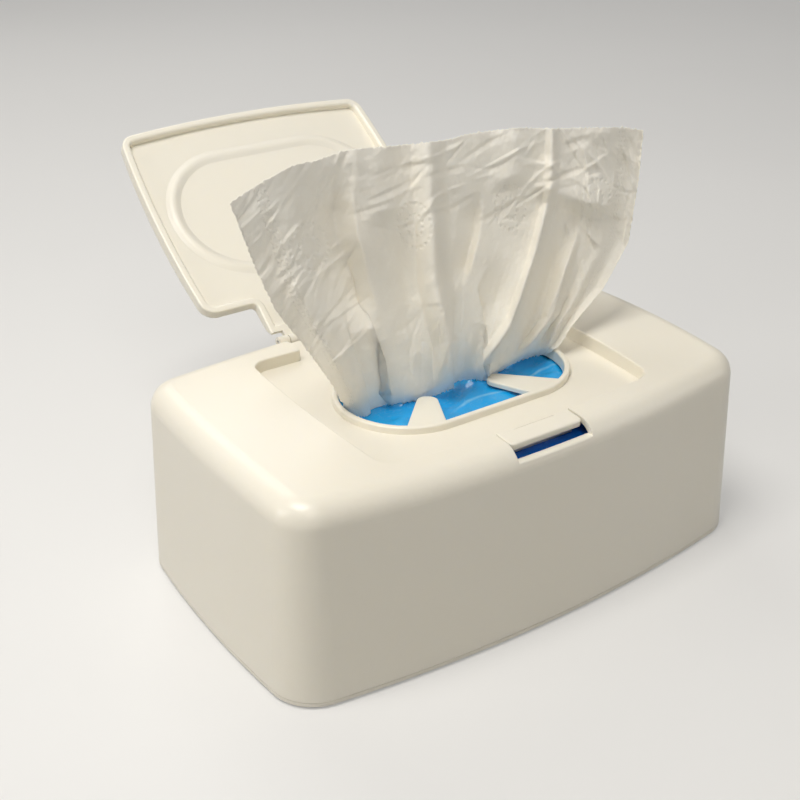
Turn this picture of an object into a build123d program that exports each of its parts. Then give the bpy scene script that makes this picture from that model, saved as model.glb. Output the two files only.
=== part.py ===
"""Flip-lid wipes dispenser: a bowed, tapered moulded housing that drops over a shallow base,
with a crowned top, a recessed deck round an oval mouth with four gripping prongs,
a hinged lid shown open, a press tab, and a film pack of wipes with one wipe drawn up.

Millimetres, +Z up. X is the long side, -Y the front with the press tab.
The origin is on the table, under the middle of the box.
"""

import os
from math import asin, atan, atan2, cos, degrees, radians, sin, sqrt

from build123d import *

os.makedirs("parts", exist_ok=True)

# Box, over all
LENGTH = 190.0  # middle of one short side to the middle of the other
DEPTH = 120.0  # middle of the front to the middle of the back
HEIGHT = 68.6  # table to the top, at the middle of the top
LONG_BOW = 8.15  # how far the long sides bow out past their corners
SHORT_BOW = 3.1
CORNER_R = 16.0
LEAN = 3.3  # how far each side leans in from the table to the top
EDGE_R = 7.7  # rounding where the sides meet the top
CROWN_DROP = 1.64  # the top is this much lower at the front and back than in the middle
END_RISE = 1.03  # and this much higher at its two ends
WALL = 2.0

# Base and feet
FOOT_H = 0.7  # gap under the base
FLANGE_H = 1.6
FLANGE_EDGE_R = 0.6
SEAM = 0.15  # open line between base and housing
SKIRT_H = 9.0  # locating wall that stands up inside the housing
SKIRT_T = 1.6
SKIRT_GAP = 0.35  # between the locating wall and the housing
CRUSH_RIB = 0.25  # friction ribs on the locating wall
CRUSH_RIB_W = 1.6
CRUSH_RIB_X = 45.0  # ribs on the long sides, from the middle
CRUSH_RIB_Y = 20.0  # ribs on the short sides, from the middle
FOOT_R = 6.0
FOOT_RECESS = 0.6
FOOT_FIT = 0.05
FOOT_EDGE_R = 0.3
FOOT_INSET = 19.0  # foot centre from the sides of the box

# Lid and the recess that it closes into
RECESS_W = 110.4  # across the middle
RECESS_BACK_IN = 19.05  # back of the recess, from the back of the box
RECESS_FRONT_IN = 18.8  # front corners of the recess, from the front of the box
RECESS_SIDE_BOW = 2.25
RECESS_FRONT_BOW = 2.8
RECESS_R = 6.4
RECESS_EDGE_R = 0.5
DECK_Z = 63.7
DECK_T = 1.8
LID_GAP = 0.4  # between the lid's edge and the recess wall
LID_SEAT = 0.2  # between the lid's rim and the deck
LID_SKIN = 1.4
LID_RIM = 3.0
LID_RIM_OUT_R = 0.7
LID_RIM_IN_R = 1.2
LID_EDGE_R = 0.6
TONGUE_W = 65.4
TONGUE_END_IN = 6.1  # end of the lid's tongue, from the back of the box
TONGUE_NECK_R = 1.5  # inner corners where the tongue leaves the lid
LID_OPEN = 142.8  # degrees from closed to the stop that it leans on

# Lid hinge
HINGE_IN = 1.3  # pin, from the back of the box
HINGE_Z = 63.3
BARREL_R = 2.1
PIN_R = 1.0
PIN_FIT = 0.05
KNUCKLE_W = 4.0  # each housing knuckle, along the pin
KNUCKLE_GAP = 0.3
LID_BARREL_HALF = 28.2
BARREL_RELIEF = 0.4
PIN_CHAMFER = 0.2
WEB_DROP = 6.3  # how far each knuckle's web runs down the back
WEB_OUT = 1.7  # its foot, in front of the pin's line
WEB_IN = 2.8
ARM_RUN = 7.2  # how far the lid's arm runs from the pin under the tongue
ARM_TOP = 66.3
STOP_X = 20.0  # stop noses on the lid's barrel, from the middle
STOP_W = 6.0
STOP_FACE = -1.45  # flat of the nose that meets the housing's back
STOP_LOW = 3.9
STOP_ROOT = 1.3  # how low the nose starts on the barrel's front

# Mouth, its rim and its prongs
MOUTH_HALF = 41.6  # half the mouth's length
MOUTH_R = 22.6
MOUTH_Y = -3.0
RIM_T = 2.0
RIM_TOP = 66.15
RIM_R = 0.7
PRONG_BASE_X = 26.5  # where a prong's middle line meets the mouth's long side
PRONG_TIP_X = 12.6
PRONG_TIP_Y = 2.7  # tip from the mouth's long middle line
PRONG_BASE_W = 14.5
PRONG_TIP_R = 3.1
PRONG_T = 1.6
PRONG_EDGE_R = 0.4
PRONG_ROOT = 8.0  # how far a prong's plan runs back into the rim before it is trimmed
TIP_ROUNDING = 0.96  # share of a prong's tip that its rounding takes

# Seal ring in the lid
SEAL_HALF = 46.9
SEAL_R = 28.4
SEAL_Y = -1.0
SEAL_W = 4.4
SEAL_GAP = 0.1  # above the mouth's rim when the lid is closed
SEAL_EDGE_R = 0.35
SEAL_SEAT = 0.05  # between the ring and the lid

# Press tab and the slot in front of it
TAB_W = 28.6
TAB_FRONT_IN = 8.4  # free edge of the tab, from the front of the box
TAB_T = 1.8
TAB_CORNER_R = 1.8
TAB_EDGE_R = 0.6
SLIT = 0.5
SLOT_Z = 63.3  # lower lip of the slot
SLOT_LIP_R = 0.6
BEAD_Z = 62.8
BEAD_R = 0.9  # round bead that the tab rocks on
BEAD_FIT = 0.08
BEAD_NECK = 1.1
SOCKET_T = 1.0  # wall under and beside the bead
BEAD_END = 0.8  # the bead stops this short of the tab's sides
TAB_LIFT = 0.25  # the tab's wall stays this far above its socket
NIB_W = 16.0  # catch nib on the tab's wall
NIB_OUT = 0.25
NIB_Z = 66.2  # its lower face
NIB_H = 0.8

# Film pack and wipes
PACK_ROOM_X = 9.0  # from the pack to the ends of the box
PACK_ROOM_Y = 11.0  # from the pack to the front and back of the box
PACK_TOP = 60.4
PACK_CORNER_R = 12.0
PACK_EDGE_R = 9.0
FILM_T = 1.0
PACK_GAP = 0.3
PACK_SLIT_L = 92.0
PACK_SLIT_W = 10.0

# Drawn-up wipe
WIPE_T = 0.7
PLEATS = 8
WIPE_CREST_X = -20.0
WIPE_CREST_Z = 149.5
WIPE_END_Z = 132.0  # the upper edge's bow, carried out to the ends of the box
# Sections from the foot up: height, left edge, right edge, fold depth, distance behind the mouth's middle
WIPE_FOOT = (61.0, -38.0, 40.0, 1.3, 0.0)
WIPE_GRIP = (67.5, -40.0, 41.0, 1.5, 0.0)
WIPE_MID = (104.0, -62.0, 74.0, 4.0, 2.0)
WIPE_TOP = (151.0, -80.0, 83.0, 3.0, 3.0)

# Worked out from the sizes above
MARGIN = 10.0  # how far cutting shapes run past what they cut
SIDE_ANGLE = degrees(atan(LEAN / HEIGHT))
RECESS_BACK = DEPTH / 2 - RECESS_BACK_IN
RECESS_FRONT = DEPTH / 2 - RECESS_FRONT_IN
TONGUE_END = DEPTH / 2 - TONGUE_END_IN
HINGE_Y = DEPTH / 2 - HINGE_IN
ARM_START = HINGE_Y - ARM_RUN
TAB_FRONT = DEPTH / 2 - TAB_FRONT_IN
PACK_L = LENGTH - 2 * PACK_ROOM_X
PACK_D = DEPTH - 2 * PACK_ROOM_Y
CROWN_RY = ((DEPTH / 2) ** 2 + CROWN_DROP**2) / (2 * CROWN_DROP)
CROWN_RX = ((LENGTH / 2) ** 2 + END_RISE**2) / (2 * END_RISE)
BASE_TOP = FOOT_H + FLANGE_H
SHELL_BOTTOM = BASE_TOP + SEAM
DECK_BOTTOM = DECK_Z - DECK_T
LID_BOTTOM = DECK_Z + LID_SEAT
BORE_R = PIN_R + PIN_FIT
KNUCKLE_X = LID_BARREL_HALF + KNUCKLE_GAP
FOOT_X = LENGTH / 2 - FOOT_INSET
FOOT_Y = DEPTH / 2 - FOOT_INSET
NOTCH_W = TONGUE_W + 2 * LID_GAP
TAB_BACK = RECESS_FRONT + RECESS_FRONT_BOW
SLOT_W = TAB_W + 2 * SLIT
SLOT_FRONT = DEPTH / 2
BEAD_Y = TAB_BACK + TAB_T / 2
BEAD_HALF = TAB_W / 2 - BEAD_END
SOCKET_R = BEAD_R + BEAD_FIT + SOCKET_T
TAB_WALL_BOTTOM = SLOT_Z + TAB_LIFT
PRONG_RUN_X = PRONG_BASE_X - PRONG_TIP_X
PRONG_RUN_Y = MOUTH_R - PRONG_TIP_Y
PRONG_REACH = sqrt(PRONG_RUN_X**2 + PRONG_RUN_Y**2)
HINGE_LINE = Axis((0, HINGE_Y, HINGE_Z), (1, 0, 0))


def box_plan(z, inset):
    """The box's plan at one height, drawn in by inset: four bowed sides, rounded corners."""
    draw_in = inset + LEAN * z / HEIGHT
    half_x = LENGTH / 2 - draw_in
    half_y = DEPTH / 2 - draw_in
    corner_x = half_x - SHORT_BOW
    corner_y = half_y - LONG_BOW
    with BuildSketch(Plane.XY.offset(z)) as plan:
        with BuildLine():
            ThreePointArc((corner_x, -corner_y), (half_x, 0), (corner_x, corner_y))
            ThreePointArc((corner_x, corner_y), (0, half_y), (-corner_x, corner_y))
            ThreePointArc((-corner_x, corner_y), (-half_x, 0), (-corner_x, -corner_y))
            ThreePointArc((-corner_x, -corner_y), (0, -half_y), (corner_x, -corner_y))
        make_face()
        fillet(plan.vertices(), CORNER_R - draw_in)
    return plan.sketch


def crown_block(drop):
    """All that lies under the crowned top, lowered by drop: an arc across the box, carried
    along it on a long arc that lifts the two ends."""
    axis_z = HEIGHT - drop + CROWN_RX
    half_w = DEPTH / 2 + MARGIN
    sag = CROWN_RY - sqrt(CROWN_RY**2 - half_w**2)
    half_turn = degrees(asin((LENGTH / 2 + MARGIN) / CROWN_RX))
    tilt = radians(half_turn)
    profile_plane = Plane(origin=(0, 0, axis_z), x_dir=(0, 1, 0), z_dir=(cos(tilt), 0, sin(tilt)))
    floor = -CROWN_RX - HEIGHT - MARGIN
    with BuildPart() as block:
        with BuildSketch(profile_plane):
            with BuildLine():
                ThreePointArc((-half_w, -CROWN_RX - sag), (0, -CROWN_RX), (half_w, -CROWN_RX - sag))
                Polyline(
                    (half_w, -CROWN_RX - sag),
                    (half_w, floor),
                    (-half_w, floor),
                    (-half_w, -CROWN_RX - sag),
                )
            make_face()
        revolve(axis=Axis((0, 0, axis_z), (0, 1, 0)), revolution_arc=2 * half_turn)
    return block.part


def box_form(bottom, inset):
    """The box's outer form from one height up, or the same form drawn in on every side."""
    with BuildPart() as form:
        extrude(box_plan(bottom, inset), HEIGHT + MARGIN - bottom, taper=SIDE_ANGLE)
        add(crown_block(inset), mode=Mode.INTERSECT)
        fillet(form.faces().sort_by(Axis.Z)[-1].edges(), EDGE_R - inset)
    return form.part


def recess_plan(z, grow, back):
    """The recess and, behind it, the notch for the lid's tongue, grown on every side and
    ended at back: bowed sides and front, a straight back, rounded corners."""
    half_x = RECESS_W / 2
    corner_x = half_x - RECESS_SIDE_BOW
    with BuildSketch(Plane.XY.offset(z)) as plan:
        with BuildLine():
            ThreePointArc((corner_x, -RECESS_FRONT), (half_x, 0), (corner_x, RECESS_BACK))
            Line((corner_x, RECESS_BACK), (-corner_x, RECESS_BACK))
            ThreePointArc((-corner_x, RECESS_BACK), (-half_x, 0), (-corner_x, -RECESS_FRONT))
            ThreePointArc((-corner_x, -RECESS_FRONT), (0, -TAB_BACK), (corner_x, -RECESS_FRONT))
        make_face()
        fillet(plan.vertices(), RECESS_R)
        with Locations((0, MOUTH_Y)):
            Rectangle(NOTCH_W, DEPTH, align=(Align.CENTER, Align.MIN))
        neck = plan.vertices().filter_by_position(Axis.Y, RECESS_BACK - 1, RECESS_BACK + 1)
        fillet(neck.filter_by_position(Axis.X, -TONGUE_W / 2 - 1, TONGUE_W / 2 + 1), TONGUE_NECK_R)
        offset(amount=grow, mode=Mode.REPLACE)
        with Locations((0, back)):
            Rectangle(LENGTH, 2 * DEPTH, align=(Align.CENTER, Align.MIN), mode=Mode.SUBTRACT)
    return plan.sketch


def wall_plan(inner, outer):
    """A band round the recess, from one distance outside it to another."""
    with BuildSketch(Plane.XY.offset(DECK_BOTTOM)) as band:
        add(recess_plan(DECK_BOTTOM, outer, DEPTH))
        add(recess_plan(DECK_BOTTOM, inner, DEPTH), mode=Mode.SUBTRACT)
    return band.sketch


def pack_form(draw_in):
    """The film pack's soft block, drawn in on every side."""
    bottom = BASE_TOP + PACK_GAP + draw_in
    with BuildPart() as block:
        with BuildSketch(Plane.XY.offset(bottom)):
            RectangleRounded(PACK_L - 2 * draw_in, PACK_D - 2 * draw_in, PACK_CORNER_R - draw_in)
        extrude(amount=PACK_TOP - draw_in - bottom)
        rims = block.edges().group_by(Axis.Z)
        fillet(rims[0] + rims[-1], PACK_EDGE_R - draw_in)
    return block.part


def prong_form():
    """One prong lying along X from its root to its rounded tip."""
    root_slope = (PRONG_BASE_W / 2 - PRONG_TIP_R) / PRONG_REACH
    root_half = PRONG_BASE_W / 2 + PRONG_ROOT * root_slope
    with BuildPart() as prong:
        with BuildSketch() as plan:
            Polygon(
                (-PRONG_ROOT, -root_half),
                (PRONG_REACH, -PRONG_TIP_R),
                (PRONG_REACH, PRONG_TIP_R),
                (-PRONG_ROOT, root_half),
                align=None,
            )
            fillet(plan.vertices().group_by(Axis.X)[-1], PRONG_TIP_R * TIP_ROUNDING)
        extrude(amount=PRONG_T)
        fillet(prong.edges().group_by(Axis.Z)[-1], PRONG_EDGE_R)
    return prong.part


# Bars across the base, whose ends stand out of the locating wall as its friction ribs
with BuildPart() as rib_bars:
    extrude(box_plan(BASE_TOP, WALL + SKIRT_GAP - CRUSH_RIB), SKIRT_H, taper=SIDE_ANGLE)
    with BuildSketch(Plane.XY.offset(BASE_TOP)):
        with GridLocations(2 * CRUSH_RIB_X, 0, 2, 1):
            Rectangle(CRUSH_RIB_W, DEPTH)
        with GridLocations(0, 2 * CRUSH_RIB_Y, 1, 2):
            Rectangle(LENGTH, CRUSH_RIB_W)
    extrude(amount=SKIRT_H, mode=Mode.INTERSECT)

# Shallow base that closes the housing from below
with BuildPart() as base_plate:
    extrude(box_plan(FOOT_H, 0), FLANGE_H, taper=SIDE_ANGLE)
    fillet(base_plate.edges().group_by(Axis.Z)[0], FLANGE_EDGE_R)
    add(rib_bars.part)
    extrude(box_plan(BASE_TOP, WALL + SKIRT_GAP), SKIRT_H, taper=SIDE_ANGLE)
    skirt_inside = box_plan(BASE_TOP, WALL + SKIRT_GAP + SKIRT_T)
    extrude(skirt_inside, SKIRT_H, taper=SIDE_ANGLE, mode=Mode.SUBTRACT)
    with BuildSketch(Plane.XY.offset(FOOT_H)):
        Circle(FOOT_R + FOOT_FIT)
        with GridLocations(2 * FOOT_X, 2 * FOOT_Y, 2, 2):
            Circle(FOOT_R + FOOT_FIT)
    extrude(amount=FOOT_RECESS, mode=Mode.SUBTRACT)
base_plate.part.label = "base_plate"
export_step(base_plate.part, "parts/base_plate.step")

# Round rubber feet seated in the base: one near each corner, one under the middle
with BuildPart() as foot_pads:
    with BuildSketch():
        Circle(FOOT_R)
        with GridLocations(2 * FOOT_X, 2 * FOOT_Y, 2, 2):
            Circle(FOOT_R)
    extrude(amount=FOOT_H + FOOT_RECESS)
    fillet(foot_pads.edges().group_by(Axis.Z)[0], FOOT_EDGE_R)
foot_pads.part.label = "foot_pads"
export_step(foot_pads.part, "parts/foot_pads.step")

# Film pack with a slit along its top
with BuildPart() as wipes_pouch:
    add(pack_form(0))
    add(pack_form(FILM_T), mode=Mode.SUBTRACT)
    with BuildSketch(Plane.XY.offset(PACK_TOP - 2 * FILM_T)):
        SlotOverall(PACK_SLIT_L, PACK_SLIT_W)
    extrude(amount=3 * FILM_T, mode=Mode.SUBTRACT)
wipes_pouch.part.label = "wipes_pouch"
export_step(wipes_pouch.part, "parts/wipes_pouch.step")

# Folded wipes inside the pack
with BuildPart() as wipes_stack:
    add(pack_form(FILM_T + PACK_GAP))
wipes_stack.part.label = "wipes_stack"
export_step(wipes_stack.part, "parts/wipes_stack.step")

# Prongs that grip the drawn wipe
with BuildPart() as prongs:
    for side, way in ((1, 1), (-1, 1), (-1, -1), (1, -1)):
        angle = degrees(atan2(-way * PRONG_RUN_Y, -side * PRONG_RUN_X))
        root = (side * PRONG_BASE_X, MOUTH_Y + way * MOUTH_R, DECK_Z - PRONG_T)
        with Locations(Location(root, angle)):
            add(prong_form())
    with BuildSketch(Plane.XY.offset(DECK_Z - PRONG_T)):
        with Locations((0, MOUTH_Y)):
            SlotOverall(2 * MOUTH_HALF + RIM_T, 2 * MOUTH_R + RIM_T)
    extrude(amount=PRONG_T, mode=Mode.INTERSECT)

# Inside of the housing, with the deck's block standing down into it
with BuildPart() as cavity:
    add(box_form(SHELL_BOTTOM, WALL))
    extrude(recess_plan(DECK_BOTTOM, WALL, DEPTH), MARGIN, mode=Mode.SUBTRACT)

# Moulded housing: skin, recessed deck, mouth, prongs, knuckles and the tab's socket
with BuildPart() as housing_shell:
    add(box_form(SHELL_BOTTOM, 0))
    add(cavity.part, mode=Mode.SUBTRACT)
    extrude(recess_plan(DECK_Z, 0, DEPTH), MARGIN, mode=Mode.SUBTRACT)

    with BuildSketch(Plane.XY.offset(DECK_BOTTOM)):
        with Locations((0, MOUTH_Y)):
            SlotOverall(2 * (MOUTH_HALF + RIM_T), 2 * (MOUTH_R + RIM_T))
    extrude(amount=RIM_TOP - DECK_BOTTOM)
    with BuildSketch(Plane.XY.offset(DECK_BOTTOM)):
        with Locations((0, MOUTH_Y)):
            SlotOverall(2 * MOUTH_HALF, 2 * MOUTH_R)
    extrude(amount=MARGIN, mode=Mode.SUBTRACT)
    fillet(housing_shell.edges().filter_by_position(Axis.Z, RIM_TOP - 0.01, RIM_TOP + 0.01), RIM_R)
    add(prongs.part)

    with BuildSketch(Plane.XY.offset(SLOT_Z)):
        with Locations((0, -SLOT_FRONT)):
            Rectangle(SLOT_W, SLOT_FRONT, align=(Align.CENTER, Align.MIN))
        add(recess_plan(SLOT_Z, 0, DEPTH), mode=Mode.SUBTRACT)
    extrude(amount=MARGIN, mode=Mode.SUBTRACT)
    lip = housing_shell.edges().filter_by_position(Axis.Z, SLOT_Z - 0.01, SLOT_Z + 0.01)
    fillet(lip.filter_by(GeomType.BSPLINE).sort_by(Axis.Y)[0], SLOT_LIP_R)
    crown_halves = housing_shell.faces().sort_by(Axis.Z)[-2:]
    fillet(
        crown_halves.edges()
        .filter_by_position(Axis.X, -RECESS_W / 2 - 0.5, RECESS_W / 2 + 0.5)
        .filter_by_position(Axis.Y, -TAB_BACK, RECESS_BACK + WALL),
        RECESS_EDGE_R,
    )
    with BuildSketch(Plane.YZ):
        with Locations((-BEAD_Y, SLOT_Z)):
            Rectangle(2 * SOCKET_R, SLOT_Z - BEAD_Z + SOCKET_R, align=(Align.CENTER, Align.MAX))
    extrude(amount=TAB_W / 2, both=True)
    with BuildSketch(Plane.YZ):
        with Locations((-BEAD_Y, BEAD_Z)):
            Circle(BEAD_R + BEAD_FIT)
    extrude(amount=BEAD_HALF + SLIT, both=True, mode=Mode.SUBTRACT)

    with BuildSketch(Plane.YZ):
        with Locations((HINGE_Y, HINGE_Z)):
            Circle(BARREL_R + BARREL_RELIEF)
    extrude(amount=KNUCKLE_X, both=True, mode=Mode.SUBTRACT)
    for side in (-1, 1):
        with BuildSketch(Plane.YZ.offset(side * KNUCKLE_X)):
            with Locations((HINGE_Y, HINGE_Z)):
                Circle(BARREL_R)
                Polygon(
                    (BARREL_R, 0),
                    (-WEB_OUT, -WEB_DROP),
                    (-WEB_IN, -WEB_DROP),
                    (-2 * BARREL_R, 0),
                    align=None,
                )
                Circle(BORE_R, mode=Mode.SUBTRACT)
        extrude(amount=side * KNUCKLE_W)
housing_shell.part.label = "housing_shell"
export_step(housing_shell.part, "parts/housing_shell.step")

# Steel pin through both housing knuckles and the lid's barrel
with BuildPart() as hinge_pin:
    with BuildSketch(Plane.YZ):
        with Locations((HINGE_Y, HINGE_Z)):
            Circle(PIN_R)
    extrude(amount=KNUCKLE_X + KNUCKLE_W - KNUCKLE_GAP, both=True)
    chamfer(hinge_pin.edges(), PIN_CHAMFER)
hinge_pin.part.label = "hinge_pin"
export_step(hinge_pin.part, "parts/hinge_pin.step")

# What lies under the tab's skin and behind its wall
with BuildPart() as under_tab:
    add(box_form(SHELL_BOTTOM, TAB_T))
    extrude(wall_plan(0, TAB_T), MARGIN, mode=Mode.SUBTRACT)

# Latch tab: a press plate level with the top, a wall on the recess and a bead to rock on
with BuildPart() as latch_tab:
    add(box_form(SHELL_BOTTOM, 0))
    add(under_tab.part, mode=Mode.SUBTRACT)
    with BuildSketch(Plane.XY.offset(TAB_WALL_BOTTOM)) as tab_plan:
        with Locations((0, -TAB_FRONT)):
            Rectangle(TAB_W, TAB_FRONT, align=(Align.CENTER, Align.MIN))
        fillet(tab_plan.vertices().group_by(Axis.Y)[0], TAB_CORNER_R)
        add(recess_plan(TAB_WALL_BOTTOM, 0, DEPTH), mode=Mode.SUBTRACT)
    extrude(amount=MARGIN, mode=Mode.INTERSECT)
    fillet(latch_tab.faces().sort_by(Axis.Z)[-1].edges(), TAB_EDGE_R)
    with BuildSketch(Plane.YZ):
        with Locations((-BEAD_Y, BEAD_Z)):
            Circle(BEAD_R)
            Rectangle(BEAD_NECK, SLOT_Z + TAB_T - BEAD_Z, align=(Align.CENTER, Align.MIN))
    extrude(amount=BEAD_HALF, both=True)
    with BuildSketch(Plane.YZ):
        Polygon(
            (-TAB_BACK - TAB_T / 2, NIB_Z),
            (-TAB_BACK + NIB_OUT, NIB_Z),
            (-TAB_BACK - TAB_T / 2, NIB_Z + NIB_H * 2),
            align=None,
        )
    extrude(amount=NIB_W / 2, both=True)
latch_tab.part.label = "latch_tab"
export_step(latch_tab.part, "parts/latch_tab.step")

# Underside of the lid, hollowed to an even skin inside a raised rim
with BuildPart() as lid_pocket:
    add(box_form(SHELL_BOTTOM, LID_SKIN))
    extrude(
        recess_plan(LID_BOTTOM, -LID_GAP - LID_RIM, TONGUE_END - LID_RIM),
        MARGIN,
        mode=Mode.INTERSECT,
    )

# Lid as it lies when closed, then swung open about the hinge
with BuildPart() as closed_lid:
    add(box_form(SHELL_BOTTOM, 0))
    extrude(recess_plan(LID_BOTTOM, -LID_GAP, TONGUE_END), MARGIN, mode=Mode.INTERSECT)
    rim_edges = closed_lid.edges().group_by(Axis.Z)[0]
    fillet(rim_edges.filter_by_position(Axis.Y, -DEPTH, TONGUE_END - 1), LID_RIM_OUT_R)
    top_edges = closed_lid.faces().sort_by(Axis.Z)[-1].edges()
    fillet(top_edges.filter_by_position(Axis.Y, -DEPTH, RECESS_BACK + LID_RIM), LID_EDGE_R)
    add(lid_pocket.part, mode=Mode.SUBTRACT)
    rim_face = closed_lid.faces().sort_by(Axis.Z)[0]
    fillet(rim_face.inner_wires()[0].edges(), LID_RIM_IN_R)
    with BuildSketch(Plane.YZ):
        with BuildLine():
            Polyline(
                (ARM_START, LID_BOTTOM),
                (HINGE_Y, LID_BOTTOM),
                (HINGE_Y, HINGE_Z + BARREL_R),
                (ARM_START, ARM_TOP),
                close=True,
            )
        make_face()
        with Locations((HINGE_Y, HINGE_Z)):
            Circle(BARREL_R)
    extrude(amount=LID_BARREL_HALF, both=True)
    with BuildSketch(Plane.YZ):
        with Locations((HINGE_Y, HINGE_Z)):
            Circle(BORE_R)
    extrude(amount=LID_BARREL_HALF, both=True, mode=Mode.SUBTRACT)

with BuildPart() as lid:
    add(closed_lid.part.rotate(HINGE_LINE, -LID_OPEN))
    for side in (-1, 1):
        with BuildSketch(Plane.YZ.offset(side * STOP_X)):
            with Locations((HINGE_Y, HINGE_Z)):
                Polygon(
                    (STOP_FACE, -STOP_LOW),
                    (STOP_FACE, -BARREL_R),
                    (-PIN_R, -STOP_ROOT),
                    (BARREL_R, 0),
                    (0, -STOP_LOW),
                    align=None,
                )
                Circle(BORE_R, mode=Mode.SUBTRACT)
        extrude(amount=STOP_W / 2, both=True)
lid.part.label = "lid"
export_step(lid.part, "parts/lid.step")

# Seal ring under the lid, round the mouth's rim when the lid is closed
with BuildPart() as closed_seal:
    with BuildSketch(Plane.XY.offset(RIM_TOP + SEAL_GAP)):
        with Locations((0, SEAL_Y)):
            SlotOverall(2 * SEAL_HALF, 2 * SEAL_R)
            SlotOverall(2 * (SEAL_HALF - SEAL_W), 2 * (SEAL_R - SEAL_W), mode=Mode.SUBTRACT)
    extrude(amount=MARGIN)
    add(crown_block(LID_SKIN + SEAL_SEAT), mode=Mode.INTERSECT)
    fillet(closed_seal.edges().group_by(Axis.Z)[0], SEAL_EDGE_R)

with BuildPart() as lid_seal:
    add(closed_seal.part.rotate(HINGE_LINE, -LID_OPEN))
lid_seal.part.label = "lid_seal"
export_step(lid_seal.part, "parts/lid_seal.step")


def pleat_plan(z, left, right, depth, behind):
    """A pleated sheet's thin section at one height: arcs that swing to the front and back."""
    step = (right - left) / PLEATS
    front = MOUTH_Y + behind - WIPE_T / 2
    back = MOUTH_Y + behind + WIPE_T / 2
    with BuildSketch(Plane.XY.offset(z)) as section:
        with BuildLine():
            for i in range(PLEATS):
                start = left + i * step
                middle = start + step / 2
                swing = depth if i % 2 else -depth
                ThreePointArc((start, back), (middle, back + swing), (start + step, back))
                ThreePointArc((start, front), (middle, front + swing), (start + step, front))
            Line((left, front), (left, back))
            Line((right, front), (right, back))
        make_face()
    return section.sketch


# Wipe drawn up between the prongs, with its main folds and its bowed upper edge
with BuildPart() as wipe_sheet:
    loft([pleat_plan(*level) for level in (WIPE_FOOT, WIPE_GRIP, WIPE_MID, WIPE_TOP)], ruled=True)
    with BuildSketch(Plane.XZ):
        with BuildLine():
            ThreePointArc(
                (-LENGTH / 2, WIPE_END_Z),
                (WIPE_CREST_X, WIPE_CREST_Z),
                (LENGTH / 2, WIPE_END_Z),
            )
            Polyline(
                (LENGTH / 2, WIPE_END_Z),
                (LENGTH / 2, 0),
                (-LENGTH / 2, 0),
                (-LENGTH / 2, WIPE_END_Z),
            )
        make_face()
    extrude(amount=DEPTH / 2, both=True, mode=Mode.INTERSECT)
wipe_sheet.part.label = "wipe_sheet"
export_step(wipe_sheet.part, "parts/wipe_sheet.step")
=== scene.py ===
"""Looks of the wipes dispenser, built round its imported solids. Metres, in the part's own frame."""

import math

import bpy
import numpy as np
from mathutils import Matrix, Vector
from mathutils.bvhtree import BVHTree


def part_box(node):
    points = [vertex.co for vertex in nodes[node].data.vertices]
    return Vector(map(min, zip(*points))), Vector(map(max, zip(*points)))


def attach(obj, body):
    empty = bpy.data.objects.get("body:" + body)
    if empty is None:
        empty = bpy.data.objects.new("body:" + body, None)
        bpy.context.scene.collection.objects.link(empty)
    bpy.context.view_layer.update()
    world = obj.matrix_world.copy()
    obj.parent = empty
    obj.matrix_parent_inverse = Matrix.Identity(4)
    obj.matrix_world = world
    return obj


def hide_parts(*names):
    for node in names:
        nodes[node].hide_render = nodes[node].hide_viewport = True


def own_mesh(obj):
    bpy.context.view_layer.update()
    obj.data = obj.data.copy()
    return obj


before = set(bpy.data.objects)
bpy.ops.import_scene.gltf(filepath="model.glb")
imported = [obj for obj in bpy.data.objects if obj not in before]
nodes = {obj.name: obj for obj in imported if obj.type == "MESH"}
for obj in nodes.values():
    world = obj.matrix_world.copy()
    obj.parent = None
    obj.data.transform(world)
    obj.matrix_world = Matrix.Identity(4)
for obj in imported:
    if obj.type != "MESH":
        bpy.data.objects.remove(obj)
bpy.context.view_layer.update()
MM = 0.001

# Camera
EYE = Vector((-0.22324, -0.29883, 0.25321))
YAW, PITCH, ROLL = (math.radians(a) for a in (34.27, -27.89, -0.17))
FOCAL_PX, IMAGE_PX = 1237.44, 800  # focal length and width of the photo, in pixels
SENSOR_MM = 36


def add_camera():
    """The camera of the photo, as fitted to the box's outline."""
    ahead = Vector((math.sin(YAW) * math.cos(PITCH), math.cos(YAW) * math.cos(PITCH), math.sin(PITCH)))
    level = Vector((math.cos(YAW), -math.sin(YAW), 0))
    upward = level.cross(ahead)
    cam_right = level * math.cos(ROLL) + upward * math.sin(ROLL)
    cam_up = upward * math.cos(ROLL) - level * math.sin(ROLL)
    camera = bpy.data.objects.new("camera", bpy.data.cameras.new("camera"))
    camera.data.sensor_width = SENSOR_MM
    camera.data.lens = SENSOR_MM * FOCAL_PX / IMAGE_PX
    camera.data.clip_start, camera.data.clip_end = 0.01, 20
    turn = Matrix((cam_right, cam_up, -ahead)).transposed().to_4x4()
    camera.matrix_world = Matrix.Translation(EYE) @ turn
    bpy.context.scene.collection.objects.link(camera)
    bpy.context.scene.camera = camera


add_camera()


# Shader helpers
def node(tree, kind, inputs=None, **settings):
    """A shader node with its settings. Its inputs are linked to sockets, or set to values."""
    made = tree.nodes.new("ShaderNode" + kind)
    for key, value in settings.items():
        setattr(made, key, value)
    for key, value in (inputs or {}).items():
        if isinstance(value, bpy.types.NodeSocket):
            tree.links.new(value, made.inputs[key])
        else:
            made.inputs[key].default_value = value
    return made


def maths(tree, operation, a, b=0.0, c=0.0):
    """One Math node's result."""
    return node(tree, "Math", {0: a, 1: b, 2: c}, operation=operation).outputs[0]


def plus(tree, a, b):
    return maths(tree, "ADD", a, b)


def minus(tree, a, b):
    return maths(tree, "SUBTRACT", a, b)


def unsigned(tree, value):
    return maths(tree, "ABSOLUTE", value)


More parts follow.
